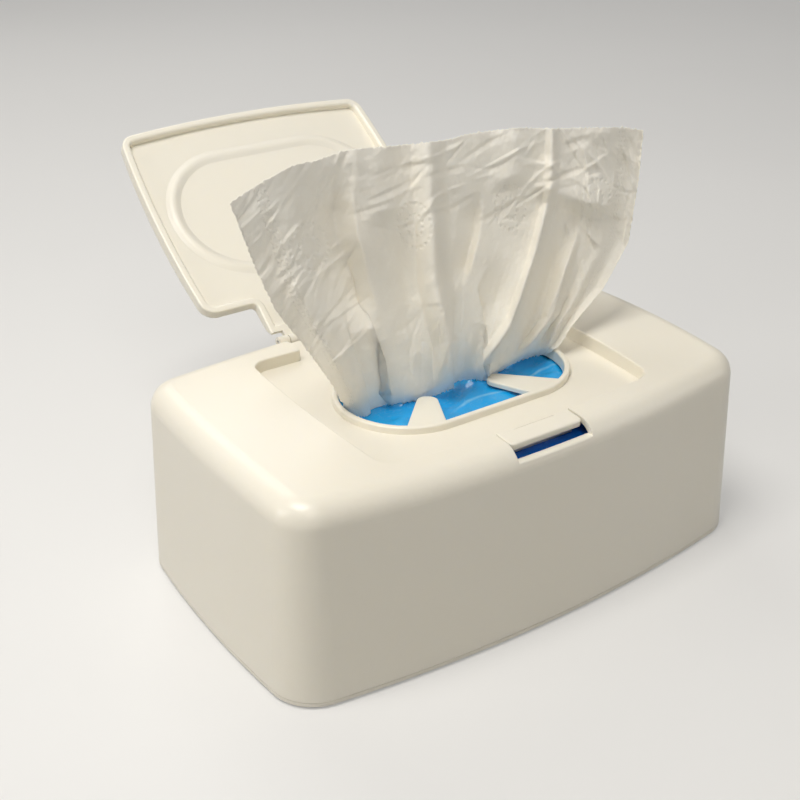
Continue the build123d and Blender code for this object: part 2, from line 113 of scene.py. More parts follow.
def product(tree, first, *others):
    """All the values multiplied together."""
    total = first
    for other in others:
        total = maths(tree, "MULTIPLY", total, other)
    return total


def span(tree, a, b):
    """Length of the line whose two parts, at right angles, are a and b."""
    return maths(tree, "SQRT", plus(tree, maths(tree, "POWER", a, 2), maths(tree, "POWER", b, 2)))


def in_cell(tree, value, pitch):
    """Place within repeating cells one pitch wide, from -0.5 to 0.5 of a cell."""
    return minus(tree, maths(tree, "FRACT", maths(tree, "DIVIDE", value, pitch)), 0.5)


def axes(tree, where):
    """The three parts of a place."""
    return node(tree, "SeparateXYZ", {0: where}).outputs


def remap(tree, value, low, high, to_low, to_high, smooth=False):
    """Value carried from one range to another, held at its ends."""
    kind = "SMOOTHSTEP" if smooth else "LINEAR"
    inputs = {0: value, 1: low, 2: high, 3: to_low, 4: to_high}
    return node(tree, "MapRange", inputs, interpolation_type=kind).outputs[0]


def blend_colour(tree, share, a, b):
    """A colour between two, each a socket or (red, green, blue)."""
    mixer = node(tree, "Mix", {0: share}, data_type="RGBA")
    for place, colour in ((6, a), (7, b)):
        if isinstance(colour, bpy.types.NodeSocket):
            tree.links.new(colour, mixer.inputs[place])
        else:
            mixer.inputs[place].default_value = (*colour, 1)
    return mixer.outputs[2]


def noise(tree, where, scale, detail=2.0, roughness=0.5, distortion=0.0):
    inputs = {"Vector": where, "Scale": scale, "Detail": detail}
    inputs.update({"Roughness": roughness, "Distortion": distortion})
    return node(tree, "TexNoise", inputs).outputs["Fac"]


def crease_lines(tree, where, scale, detail, roughness, distortion):
    """Zero along winding lines, and rising away from them."""
    return unsigned(tree, minus(tree, noise(tree, where, scale, detail, roughness, distortion), 0.5))


def bump(tree, height, distance, strength=1.0, under=None):
    inputs = {"Height": height, "Distance": distance, "Strength": strength}
    if under:
        inputs["Normal"] = under
    return node(tree, "Bump", inputs).outputs[0]


def material(name, **numbers):
    """A new Principled material: the material, its tree, its shader and its object coordinates."""
    made = bpy.data.materials.new(name)
    made.use_nodes = True
    tree = made.node_tree
    tree.nodes.clear()
    shader = node(tree, "BsdfPrincipled", {k.replace("_", " "): v for k, v in numbers.items()})
    node(tree, "OutputMaterial", {"Surface": shader.outputs[0]})
    return made, tree, shader, node(tree, "TexCoord").outputs["Object"]


def feed(tree, shader, **sockets):
    for key, socket in sockets.items():
        tree.links.new(socket, shader.inputs[key.replace("_", " ")])


# Plastics, rubber and wire
IVORY = (0.875, 0.83, 0.725)
# The lid's ivory is painted lighter than the housing's, as painted light that brightens the lid.
LID_IVORY_PAINTED_LIGHTER = (0.90, 0.86, 0.76)
SEAL_IVORY = (0.885, 0.845, 0.745)
BASE_IVORY = (0.81, 0.765, 0.665)
CLOUDED = (0.988, 0.984, 0.972)  # share of a plastic's tone that its darker clouds keep
FOOT_GREY = (0.56, 0.55, 0.52)


def moulded_plastic(name, tone, gloss, seed):
    """Injection-moulded plastic: faint cloudiness, fine skin texture, slow sink in the reflections."""
    made, tree, shader, where = material(
        name,
        Coat_Weight=0.12,
        Coat_Roughness=0.18,
        Subsurface_Weight=0.12,
        Subsurface_Radius=(1.0, 0.85, 0.6),
        Subsurface_Scale=0.004,
    )
    shifted = node(tree, "VectorMath", {0: where, 1: (seed, seed * 2, seed * 3)}, operation="ADD").outputs[0]
    cloud = noise(tree, shifted, 11, 1)
    deeper = tuple(c * k for c, k in zip(tone, CLOUDED, strict=True))
    hue = blend_colour(tree, remap(tree, cloud, 0.3, 0.7, 0, 1, smooth=True), tone, deeper)
    rub = noise(tree, shifted, 38, 3)
    shine = remap(tree, rub, 0.3, 0.7, gloss - 0.025, gloss + 0.03)
    skin = bump(tree, noise(tree, shifted, 1500, 2), 0.00002, 0.3)
    slow = bump(tree, noise(tree, shifted, 22, 1), 0.0006, 0.12, skin)
    feed(tree, shader, Base_Color=hue, Roughness=shine, Normal=slow)
    return made


def pitted_rubber(name, tone):
    """Matt elastomer with a dusty, finely pitted skin."""
    made, tree, shader, where = material(name, Sheen_Weight=0.15, Sheen_Roughness=0.5)
    dust = noise(tree, where, 200, 5, 0.6)
    dusty = tuple(c * 1.12 for c in tone)
    hue = blend_colour(tree, remap(tree, dust, 0.4, 0.7, 0, 1), tone, dusty)
    shine = remap(tree, dust, 0.3, 0.7, 0.55, 0.72)
    pits = bump(tree, noise(tree, where, 2440, 3), 0.00005, 0.6)
    feed(tree, shader, Base_Color=hue, Roughness=shine, Normal=pits)
    return made


def drawn_wire():
    """Steel wire with fine draw lines along X."""
    made, tree, shader, where = material("drawn_wire", Metallic=1.0)
    along = node(tree, "Mapping", {"Vector": where, "Scale": (12, 900, 900)}).outputs[0]
    lines = noise(tree, along, 3, 4)
    hue = blend_colour(tree, lines, (0.50, 0.50, 0.50), (0.66, 0.65, 0.64))
    shine = remap(tree, lines, 0.3, 0.7, 0.2, 0.38)
    feed(tree, shader, Base_Color=hue, Roughness=shine, Normal=bump(tree, lines, 0.00002, 0.5))
    return made


# Packing film
# Curved pulls in the film across the mouth: middle x, y there, curvature and half length, in metres.
FILM_PULLS = [(0.004, -0.0120, 16.0, 0.015), (0.036, -0.0072, 14.0, 0.013)]
PULL_WIDTH = 0.0011
FILM_BLUES = (0.006, 0.36, 0.82), (0.012, 0.42, 0.88)
FILM_CREASED = (0.12, 0.46, 0.84)
# Pale blue painted along the pulls as their painted highlight.
FILM_PULL_HIGHLIGHT = (0.22, 0.58, 0.88)
FILM_SHADED_BLUE = (0.004, 0.20, 0.84)
# Painted shade: the film is painted a deeper blue in front of the mouth and down the pack's sides, where it
# lies in shade; it turns to its lit blues between these places.
SHADE_LIFTS_FROM_Y, SHADE_GONE_BY_Y = -0.044, -0.036
SHADE_LIFTS_FROM_Z, SHADE_GONE_BY_Z = 0.05, 0.059


def paint_pull_highlights(tree, hue, where, x, y):
    """Painted highlights: light arcs painted along the film's pulls, broken up along their length."""
    for middle, level_y, curve, half in FILM_PULLS:
        along = minus(tree, x, middle)
        bow = product(tree, maths(tree, "POWER", along, 2), curve)
        off = unsigned(tree, plus(tree, minus(tree, y, level_y), bow))
        pull_highlight = remap(tree, off, 0.0, PULL_WIDTH, 1, 0, smooth=True)
        fade = remap(tree, unsigned(tree, along), half * 0.4, half, 1, 0, smooth=True)
        broken = remap(tree, noise(tree, where, 240, 3), 0.35, 0.6, 0.35, 0.9)
        hue = blend_colour(tree, product(tree, pull_highlight, fade, broken), hue, FILM_PULL_HIGHLIGHT)
    return hue


def packing_film():
    """Glossy blue film: painted a deeper blue in front and down its sides as painted shade, milky along its
    fine creases, with painted highlights along its pulls.
    """
    made, tree, shader, where = material(
        "packing_film",
        Coat_Weight=0.3,
        Coat_Roughness=0.04,
        Specular_IOR_Level=0.6,
    )
    x, y, z = axes(tree, where)
    cloud = noise(tree, where, 45, 3, 0.5, 0.6)
    line = remap(tree, crease_lines(tree, where, 130, 2, 0.5, 1.2), 0.0, 0.02, 1, 0, smooth=True)
    hue = blend_colour(tree, remap(tree, cloud, 0.35, 0.65, 0, 1), *FILM_BLUES)
    hue = blend_colour(tree, product(tree, line, 0.35), hue, FILM_CREASED)
    # Painted shade: a deeper blue in front of the mouth and low down on the pack.
    unshaded_y = remap(tree, y, SHADE_LIFTS_FROM_Y, SHADE_GONE_BY_Y, 0, 1, smooth=True)
    unshaded_z = remap(tree, z, SHADE_LIFTS_FROM_Z, SHADE_GONE_BY_Z, 0, 1, smooth=True)
    hue = blend_colour(tree, maths(tree, "MINIMUM", unshaded_y, unshaded_z), FILM_SHADED_BLUE, hue)
    hue = paint_pull_highlights(tree, hue, where, x, y)
    shine = remap(tree, cloud, 0.3, 0.7, 0.14, 0.26)
    rough = bump(tree, line, 0.00012, 0.5)
    rough = bump(tree, noise(tree, where, 260, 2, 0.5, 0.8), 0.0002, 0.35, rough)
    feed(tree, shader, Base_Color=hue, Roughness=shine, Normal=rough)
    return made


# Nonwoven
WIPE_W, WIPE_H = 172.0, 92.0  # flat size of the drawn-up part of the wipe, in mm
FLAT_MM = 200.0  # one unit of the wipe's flat coordinates, in mm
BAND_FROM, BAND_TO = 8.0, 12.8  # a band of pressed dots, from each side of the wipe, in mm
DOT_PITCH = 1.6
RING_PITCH_X, RING_PITCH_Y, RING_SHIFT_Y = 43, 50, 8  # spacing of the rings of pressed dots, in mm
RINGS = ((7.2, 21), (3.6, 11))  # each ring's radius, in mm, and its number of dots
RINGS_ABOVE = 40.0
CLOTH_WHITES = (0.94, 0.88, 0.755), (0.95, 0.90, 0.785)
CLOTH_FIBRE = (0.90, 0.835, 0.71)
CLOTH_FILM_LIGHT = (0.42, 0.60, 0.84)
FILM_LIGHT_BELOW, FILM_LIGHT_GONE_ABOVE = 0.0605, 0.0695  # heights between which the painted blue light from the film fades out up the foot, in metres


def embossing(tree):
    """Pressed dots, in a band along each side of the wipe and in small rings over its upper part."""
    flat_uv = node(tree, "UVMap", uv_map="flat").outputs[0]
    flat = node(tree, "VectorMath", {0: flat_uv, 1: (FLAT_MM, FLAT_MM, 0)}, operation="MULTIPLY").outputs[0]
    across, up, _ = axes(tree, flat)
    side = maths(tree, "MINIMUM", across, minus(tree, WIPE_W, across))
    past, short = maths(tree, "GREATER_THAN", side, BAND_FROM), maths(tree, "LESS_THAN", side, BAND_TO)
    reach = span(tree, in_cell(tree, across, DOT_PITCH), in_cell(tree, up, DOT_PITCH))
    pressed = product(tree, remap(tree, reach, 0.16, 0.34, 1, 0, smooth=True), product(tree, past, short))
    ring_x = product(tree, in_cell(tree, across, RING_PITCH_X), RING_PITCH_X)
    ring_y = product(tree, in_cell(tree, plus(tree, up, RING_SHIFT_Y), RING_PITCH_Y), RING_PITCH_Y)
    from_middle = span(tree, ring_x, ring_y)
    round_way = maths(tree, "DIVIDE", maths(tree, "ARCTAN2", ring_y, ring_x), 2 * math.pi)
    upper = maths(tree, "GREATER_THAN", up, RINGS_ABOVE)
    for radius, count in RINGS:
        turns = product(tree, plus(tree, round_way, 1), count)
        arc = product(tree, in_cell(tree, turns, 1), 2 * math.pi * radius / count)
        far = span(tree, arc, minus(tree, from_middle, radius))
        ring = product(tree, remap(tree, far, 0.3, 0.85, 1, 0, smooth=True), upper)
        pressed = maths(tree, "MAXIMUM", pressed, ring)
    return pressed


def nonwoven(name, drawn):
    """Thin white nonwoven: fibres and fine crinkles. The drawn wipe is embossed too, and its foot is painted
    with a little of the film's blue, as painted light passed on from the film."""
    made, tree, shader, where = material(
        name,
        Roughness=0.9,
        Specular_IOR_Level=0.15,
        Sheen_Weight=0.12,
        Sheen_Roughness=0.6,
        Subsurface_Weight=0.5,
        Subsurface_Radius=(1.0, 0.92, 0.8),
        Subsurface_Scale=0.0015,
    )
    fibre = noise(tree, where, 2200, 5, 0.7, 0.8)
    cloud = noise(tree, where, 60, 4, 0.6)
    hue = blend_colour(tree, remap(tree, cloud, 0.35, 0.65, 0, 1), *CLOTH_WHITES)
    hue = blend_colour(tree, remap(tree, fibre, 0.45, 0.75, 0, 0.5), hue, CLOTH_FIBRE)
    crinkle = crease_lines(tree, where, 150, 3, 0.55, 0.8)
    normal = bump(tree, crinkle, 0.001, 0.14, bump(tree, fibre, 0.00006, 0.5))
    if drawn:
        normal = bump(tree, embossing(tree), -0.0003, 0.6, normal)
        # Painted light: the film's blue, painted low on the foot.
        film_light = remap(tree, axes(tree, where)[2], FILM_LIGHT_BELOW, FILM_LIGHT_GONE_ABOVE, 0.4, 0, smooth=True)
        uneven = remap(tree, noise(tree, where, 90, 2), 0.35, 0.6, 0.25, 1)
        hue = blend_colour(tree, product(tree, film_light, uneven), hue, CLOTH_FILM_LIGHT)
    feed(tree, shader, Base_Color=hue, Normal=normal)
    return made


# Finish of each piece
housing_plastic = moulded_plastic("housing_plastic", IVORY, 0.36, 0.11)
lid_plastic = moulded_plastic("lid_plastic", LID_IVORY_PAINTED_LIGHTER, 0.36, 0.37)
tab_plastic = moulded_plastic("tab_plastic", IVORY, 0.34, 0.71)
base_plastic = moulded_plastic("base_plastic", BASE_IVORY, 0.42, 0.53)
seal_rubber = moulded_plastic("seal_rubber", SEAL_IVORY, 0.45, 0.93)
foot_rubber = pitted_rubber("foot_rubber", FOOT_GREY)
wire = drawn_wire()
film = packing_film()
drawn_wipe_cloth = nonwoven("drawn_wipe_cloth", drawn=True)
stack_cloth = nonwoven("stack_cloth", drawn=False)

for name, made in {
    "housing_shell": housing_plastic,
    "lid": lid_plastic,
    "latch_tab": tab_plastic,
    "base_plate": base_plastic,
    "foot_pads": foot_rubber,
    "hinge_pin": wire,
}.items():
    nodes[name].data.materials.clear()
    nodes[name].data.materials.append(made)


# Mesh helpers
def waves(x, y, length, seed, count=28):
    """Smooth random relief of about unit height whose features are about one length across."""
    pick = np.random.default_rng(seed)
    way = pick.uniform(0, 2 * np.pi, count)
    rate = 2 * np.pi / (length * pick.uniform(0.7, 1.6, count))
    start = pick.uniform(0, 2 * np.pi, count)
    parts = zip(way, rate, start, strict=True)
    total = sum(np.sin(k * (x * np.cos(a) + y * np.sin(a)) + p) for a, k, p in parts)
    return total / math.sqrt(count / 2)


def creases(x, y, count, seed, box, lengths, widths, heights, lie=None):
    """Relief of sharp folds, each a ridge with one steep and one gentle side, faded at its ends. They lie
    every way, or about an angle of lie[0] that grows by lie[1] for each mm of x."""
    pick = np.random.default_rng(seed)
    total = np.zeros_like(x)
    for _ in range(count):
        middle_x, middle_y = pick.uniform(box[0], box[1]), pick.uniform(box[2], box[3])
        if lie is None:
            angle = pick.uniform(0, np.pi)
        else:
            angle = lie[0] + lie[1] * middle_x + pick.normal(0, 0.28)
        half = pick.uniform(*lengths) / 2
        steep, gentle = pick.uniform(*widths) * 0.45, pick.uniform(*widths)
        rise = pick.uniform(*heights) * pick.choice((-1, 1))
        along = (x - middle_x) * np.cos(angle) + (y - middle_y) * np.sin(angle)
        bend = pick.normal(0, 0.012)
        across = -(x - middle_x) * np.sin(angle) + (y - middle_y) * np.cos(angle) + bend * along**2
        side = np.where(across > 0, across / steep, -across / gentle)
        tent = np.clip(1 - side, 0, 1)
        fade = np.clip(1 - (along / half) ** 2, 0, 1)
        total += rise * tent * fade
    return total


def smoothed(values, taps, **ends):
    """A line of values smoothed by a bell of the given number of taps; ends says how the line is padded."""
    bell = np.hanning(taps + 2)[1:-1]
    return np.convolve(np.pad(values, taps // 2, **ends), bell / bell.sum(), "valid")


def eased(share):
    """A share from 0 to 1 that starts and stops gently."""
    return share * share * (3 - 2 * share)


def mesh_object(name, points, faces):
    data = bpy.data.meshes.new(name)
    data.from_pydata([tuple(p) for p in points], [], [tuple(int(i) for i in f) for f in faces])
    data.update()
    data.polygons.foreach_set("use_smooth", [True] * len(data.polygons))
    made = bpy.data.objects.new(name, data)
    bpy.context.scene.collection.objects.link(made)
    return made


# Drawn-up wipe
# Its outline and folds lie on a plane that leans back a little from the mouth, in mm: (across, up).
LEFT = [(-42.3, 66.3), (-43.7, 68.1), (-44.4, 70.4), (-46, 75), (-56.3, 92.6), (-64.6, 105.5), (-70.1, 119.3)]
LEFT += [(-74.3, 133.2), (-76.7, 141.2)]
RIGHT = [(41, 62.9), (44, 63.4), (47.4, 65), (51.6, 70.3), (57.6, 75.2), (66.7, 81.9), (77.6, 97)]
RIGHT += [(80.6, 118.3), (81.4, 136.4)]
TOP = [(-76.7, 141.2), (-69.1, 144.2), (-62, 146.5), (-56.5, 148.2), (-48.3, 148.2), (-39.2, 149.6)]
TOP += [(-26.5, 148.5), (-12.1, 147.1), (0.4, 146.6), (6.8, 147.1), (13.3, 146.8), (26.7, 145.8)]
TOP += [(40.7, 143.3), (55.2, 141.3), (70.3, 139.1), (81.4, 136.4)]
FOOT = [(-42.3, 66.3), (-39.4, 63.6), (-35.3, 61.6), (-33.4, 61.8), (-32.2, 62.9), (-27.1, 63.9)]
FOOT += [(-24.8, 63.9), (-18.5, 62.2), (-14.4, 61.2), (-7.1, 61.3), (-2.1, 62.8), (2.9, 62.8), (5.9, 63.9)]
FOOT += [(11.4, 61.5), (14, 60.8), (20.1, 61.7), (28.9, 64.2), (32.5, 64.4), (37.1, 63.9), (41, 62.9)]
PLANE_Y, PLANE_LEAN, PLANE_Z = -3.0, 3 / 88, 61.0
ACROSS, UP = 420, 230  # the mesh's points across and up
SHEET_MM = 0.16
OUTLINE_TAPS, FOLD_TAPS = 25, 5  # points over which the outline and the folds are smoothed
MIRRORED = {"mode": "reflect", "reflect_type": "odd"}

# Height at which the foot meets the film or the rim, over its places across.
FOOT_PLACES, FOOT_HEIGHTS = [-42.3, -36, 34, 38, 41], [62.2, 61.2, 61.2, 61.7, 63.0]
# Depth of the other edges behind the plane, over their shares. The sides start at the foot's own depth.
LEFT_SHARES, LEFT_DEPTHS = [0, 0.05, 0.12, 0.3, 0.6, 1], [7, 4, 0, -2, -4]
RIGHT_SHARES, RIGHT_DEPTHS = [0, 0.05, 0.12, 0.22, 0.4, 0.7, 1], [-7.5, -8, -8.5, -7, -3, -1]
TOP_SHARES, TOP_DEPTHS = [0, 0.12, 0.3, 0.45, 0.6, 0.8, 0.92, 1], [-3, 0, 7, 12, 12, 7, 2, 0]

# Folds that double back behind a crest: its line, its height, the width of its rise, how far the cloth
# turns back, where it has come out again, how far it lies behind, and its share at the low end.
FLAP = [(-41.5, 119), (-35.4, 103.8), (-29.8, 89), (-26.4, 78.8), (-24.8, 65.3), (-24.6, 60)]
DOUBLED = [
    (FLAP, 4.2, 6.5, 5.0, 14, 1.4, 0.3),
    ([(-44, 104), (-38.6, 86.7), (-34.5, 72), (-33.3, 64.2), (-33, 60)], 1.5, 3.5, 1.6, 7, 0.8, 0.7),
    ([(-1.5, 96), (0.3, 84), (-0.6, 78), (0.4, 70), (0.2, 60)], 1.6, 3.2, 1.8, 8, 0.8, 0.7),
    ([(13.8, 103), (9.8, 95.3), (12.4, 86), (14.1, 78.7), (15.7, 66), (16, 60)], 2.4, 6, 2.8, 10, 1.4, 0.7),
]
TURN = 3.0  # width over which the cloth turns back
BEHIND_FADE = 7  # width over which it comes level again

# Ridges towards the eye, and valleys where the height is negative: the line, the height at its middle, the
# widths to the left and the right of it, and the height's shares at the low and the high end.
SPINE = [(-8.6, 148), (-8.5, 139.8), (-7.4, 123.8), (-6.7, 101.7), (-1.2, 79.1), (-1.3, 60)]
RIDGES = [
    ([(-43, 146), (-44.5, 134), (-43, 122), (-38, 108), (-31, 92)], -11, 12, 8, 0.15, 0.35),
    (SPINE, 9.5, 7.0, 6.0, 0.65, 0.5),
    ([(40.6, 123), (35.1, 103.7), (28.3, 87.3), (18.6, 66.4), (17, 60)], 6.0, 3.0, 3.4, 0.35, 0.6),
    ([(29, 122), (25, 102), (19, 84), (12, 68)], -1.2, 8, 6, 0.4, 0.1),
    ([(50, 118), (44, 102), (37, 86), (28, 70)], -5, 5.5, 8, 0.4, 0.1),
    ([(53, 106), (50, 98), (43.5, 77.4), (33.3, 68.7), (30, 60)], 5.2, 6, 3, 0.4, 0),
    ([(62, 96), (54, 82), (44, 70), (38, 60)], 3.4, 5, 3.4, 0.3, 0),
    ([(-62, 136), (-57, 112), (-50, 92), (-42, 74)], 4.2, 8, 7, 0.4, 0.2),
    ([(-21, 132), (-19, 112), (-17, 96), (-14, 78)], -3.4, 9, 7, 0.3, 0.1),
    ([(9.5, 128), (8, 114.5), (3, 98)], -4.0, 7, 3, 0.1, 0),
    ([(24, 148), (25, 136), (23, 126)], 3.4, 10, 9, 0.1, 0.5),
    ([(-27, 149), (-27, 138), (-24, 124)], 3.6, 9, 8, 0.1, 0.4),
]
CREST_ROUND, CREST_RISE = 0.06, 0.785  # how round a ridge's crest is, and the height of such a profile

# A crease across the right half: its line, its height, its widths above and below, and its fades.
CROSS_X, CROSS_Z = [30, 40.6, 52, 64, 74], [127, 123, 117, 113, 112]
CROSS_HEIGHT, CROSS_ABOVE, CROSS_BELOW, CROSS_FADE_IN, CROSS_FADE_OUT = 4.2, 11, 5, 9, 14
# The right edge rolls back from this line.
ROLL_Z, ROLL_X, ROLL_SLOPE = [75, 95, 115, 136], [57, 64, 67, 66], 0.32

# Fine creases: how many, their seed, the box that they lie in, and the ranges of their lengths, widths and
# heights, then how they lie.
FINE_CREASES = [
    (60, 21, (-78, 82, 66, 149), (9, 34), (1.6, 5.0), (0.1, 0.35), None),
    (110, 22, (-76, -40, 84, 148), (8, 26), (1.0, 3.0), (0.2, 0.75), (0.8, 0)),
    (50, 23, (-30, 60, 120, 150), (8, 30), (1.0, 3.0), (0.2, 0.65), (0.2, 0)),
    (70, 24, (48, 82, 84, 138), (6, 22), (1.0, 2.6), (0.2, 0.75), (2.0, 0)),
    (60, 25, (-42, 42, 62, 92), (10, 30), (1.2, 3.0), (0.12, 0.45), (1.57, -1 / 150)),
]

# The foot is gripped up to GRIP_TOP, and the folds are whole again GRIP_FADE above it. The foot bends to
# meet the film over about FOOT_FADE.
GRIP_TOP, GRIP_FADE, FOOT_FADE = 61.5, 11, 3.5
FOLDS_GRIPPED, FINE_GRIPPED = 0.35, 0.3  # shares of the folds and fine creases that stay in the grip
SIDE_EASE, SIDE_KEEP = 16, 0.25  # folds fade over a sixteenth of the width at the sides, to this share

# The mouth's wall: half its length, its end radius, its middle and its rim's top.
MOUTH_HALF, MOUTH_R, MOUTH_Y, RIM_TOP = 41.6, 22.6, -3.0, 66.15
WALL_GAP = 0.8  # the wipe's clearance from that wall, up to RIM_CLEAR above the rim
RIM_CLEAR, RIM_SPREAD = 0.5, 3  # and from there, how much wider it may be for each mm of height


def along_line(points, where):
    """Points at the given shares of a polyline's length, with its corners eased."""
    corners = np.array(points, float)
    run = np.concatenate([[0], np.cumsum(np.hypot(*np.diff(corners, axis=0).T))])
    fine = np.linspace(0, run[-1], 400)
    line = [smoothed(np.interp(fine, run, corners[:, k]), OUTLINE_TAPS, **MIRRORED) for k in (0, 1)]
    return np.stack([np.interp(where * run[-1], fine, part) for part in line], 1)


def patch(left, right, foot, top, s, t):
    """Surface between four edges that meet at their corners. s runs left to right, and t foot to top."""
    corner = (1 - s) * (1 - t) * foot[0] + s * (1 - t) * foot[-1] + (1 - s) * t * top[0] + s * t * top[-1]
    return (1 - s) * left[:, None] + s * right[:, None] + (1 - t) * foot[None, :] + t * top[None, :] - corner


def beside(line, flat_x, flat_z):
    """Each point's distance to the right of a line of (across, up) points, and its share up that line."""
    p = np.array(sorted(line, key=lambda q: q[1]), float)
    share = (flat_z - p[0, 1]) / (p[-1, 1] - p[0, 1])
    return flat_x - np.interp(flat_z, p[:, 1], p[:, 0]), np.clip(share, 0, 1)


def ridge(off, share, height, left_width, right_width, low, high):
    """How far one ridge moves the cloth away from the eye."""
    swell = np.interp(share, [0, 0.2, 0.75, 1], [low, 1, 0.85, high])
    width = np.where(off < 0, left_width, right_width)
    slope = np.sqrt(np.clip(np.abs(off) / width, 0, 1) ** 2 + CREST_ROUND)
    return -height * swell * (np.sqrt(1.0 + CREST_ROUND) - slope).clip(0) / CREST_RISE


def doubled(off, share, height, rise_width, turned_back, out_again, behind, low):
    """How far a doubled-back fold moves the cloth across, and away from the eye."""
    amount = np.interp(share, [0, 0.15, 0.6, 1], [low, 1, 0.8, 0])
    back = eased(np.clip(off / TURN, 0, 1))
    coming_out = (out_again + turned_back) / (out_again - TURN)
    shown = np.where(off < TURN, -turned_back * back, -turned_back + (off - TURN) * coming_out)
    across = np.where((off > 0) & (off < out_again), amount * (shown - off), 0)
    front = -height * np.exp(np.minimum(off, 0) / rise_width)
    level_again = behind * np.exp(-(off - TURN) / BEHIND_FADE)
    away = np.where(off < TURN, front + (height + behind) * back, level_again)
    return across, amount * away


def large_folds(flat_x, flat_z):
    """How far the wipe's main folds move it across, and away from the eye."""
    across, away = np.zeros_like(flat_x), np.zeros_like(flat_x)
    for line, *sizes in DOUBLED:
        moves = doubled(*beside(line, flat_x, flat_z), *sizes)
        across += moves[0]
        away += moves[1]
    for line, *sizes in RIDGES:
        away += ridge(*beside(line, flat_x, flat_z), *sizes)
    above = flat_z - np.interp(flat_x, CROSS_X, CROSS_Z)
    width = np.where(above > 0, CROSS_ABOVE, CROSS_BELOW)
    fade_in = np.clip((flat_x - CROSS_X[0]) / CROSS_FADE_IN, 0, 1)
    fade_out = np.clip((CROSS_X[-1] - flat_x) / CROSS_FADE_OUT, 0, 1)
    away -= CROSS_HEIGHT * fade_in * fade_out * np.clip(1 - np.abs(above) / width, 0, 1)
    away += ROLL_SLOPE * np.clip(flat_x - np.interp(flat_z, ROLL_Z, ROLL_X), 0, None)
    for axis in (0, 1):
        away = np.apply_along_axis(smoothed, axis, away, FOLD_TAPS, mode="edge")
    return across, away


def fine_relief(x, z):
    """Fine creases, with slow waves and two scales of crinkle."""
    fine = sum(creases(x, z, *row) for row in FINE_CREASES)
    return fine + 0.4 * waves(x, z, 24, 31) + 0.05 * waves(x, z, 5, 32) + 0.03 * waves(x, z, 1.9, 33)


def edge_depths(foot_depth, s_line, t_line):
    """Depths of the left, right, foot and top edges behind the plane, which agree at the corners."""
    left = np.interp(t_line, LEFT_SHARES, [foot_depth[0], *LEFT_DEPTHS])
    right = np.interp(t_line, RIGHT_SHARES, [foot_depth[-1], *RIGHT_DEPTHS])
    top = np.interp(s_line, TOP_SHARES, TOP_DEPTHS)
    left, right, top = (smoothed(line, OUTLINE_TAPS, **MIRRORED) for line in (left, right, top))
    foot_depth[0], foot_depth[-1] = left[0], right[0]
    top[0], top[-1] = left[-1], right[-1]
    return left, right, foot_depth, top


def fray_edges(cloth, s, t):
    """Torn edges: a fine fray on the upper edge and the sides, and a coarser one along the foot."""
    across, up = s * WIPE_W, t * WIPE_H
    to_right, to_top = (1 - s) * WIPE_W, (1 - t) * WIPE_H
    upper = 0.13 * waves(across, 0 * s, 1.7, 5) + 0.08 * waves(across, 0 * s, 0.9, 6)
    cloth[..., 2] += upper * np.exp(-to_top / 1.2)
    sides = 0.12 * waves(up, 0 * t, 1.8, 8)
    cloth[..., 0] += sides * (np.exp(-across / 1.5) - np.exp(-to_right / 1.5))
    cloth[..., 2] += 0.22 * waves(across, 0 * s, 2.6, 11) * np.exp(-up / 1.6)


def clear_mouth(cloth):
    """Keeps the wipe clear of the mouth's wall, up to the rim's top."""
    x, y = cloth[..., 0], cloth[..., 1]
    beyond = np.sign(x) * np.clip(np.abs(x) - (MOUTH_HALF - MOUTH_R), 0, None)
    out = np.hypot(beyond, y - MOUTH_Y)
    room = MOUTH_R - WALL_GAP + np.clip(cloth[..., 2] - RIM_TOP - RIM_CLEAR, 0, None) * RIM_SPREAD
    shrink = np.minimum(1, room / np.maximum(out, 1e-6))
    cloth[..., 0] = x - beyond * (1 - shrink)
    cloth[..., 1] = MOUTH_Y + (y - MOUTH_Y) * shrink


def drawn_up_cloth():
    """The wipe's grid of points, in metres, with their flat coordinates. Folds move it along the line of
    sight, so that they stay where the plane shows them."""
    s_line, t_line = np.linspace(0, 1, ACROSS), np.linspace(0, 1, UP)
    s, t = np.meshgrid(s_line, t_line)
    left, right = along_line(LEFT, t_line), along_line(RIGHT, t_line)
    foot, top = along_line(FOOT, s_line), along_line(TOP, s_line)
    flat_x, flat_z = (patch(left[:, k], right[:, k], foot[:, k], top[:, k], s, t) for k in (0, 1))
    plane_y = PLANE_Y + PLANE_LEAN * (flat_z - PLANE_Z)
    sight = np.stack([flat_x, plane_y, flat_z], -1) - np.array(EYE) / MM
    sight /= np.linalg.norm(sight, axis=-1, keepdims=True)

    foot_z = np.interp(foot[:, 0], FOOT_PLACES, FOOT_HEIGHTS)
    foot_depth = (foot_z - foot[:, 1]) / sight[0, :, 2]
    depth = patch(*edge_depths(foot_depth, s_line, t_line), s, t)
    across, away = large_folds(flat_x, flat_z)
    x = flat_x + across
    # The folds die out where the foot is gripped, and grow again above the rim.
    free = eased(np.clip((flat_z - GRIP_TOP) / GRIP_FADE, 0, 1))
    at_sides = np.clip(np.minimum(s, 1 - s) * SIDE_EASE, SIDE_KEEP, 1)
    depth += away * (FOLDS_GRIPPED + (1 - FOLDS_GRIPPED) * free) * at_sides
    depth += fine_relief(x, flat_z) * (FINE_GRIPPED + (1 - FINE_GRIPPED) * free)
    cloth = np.stack([x, plane_y, flat_z], -1) + sight * depth[..., None]
    # The foot comes down to the film.
    to_film = foot_z - cloth[0, :, 2]
    cloth[..., 2] += to_film[None, :] * np.exp(-t * WIPE_H / FOOT_FADE)
    fray_edges(cloth, s, t)
    clear_mouth(cloth)
    return cloth * MM, np.stack([s * WIPE_W, t * WIPE_H], -1) / FLAT_MM


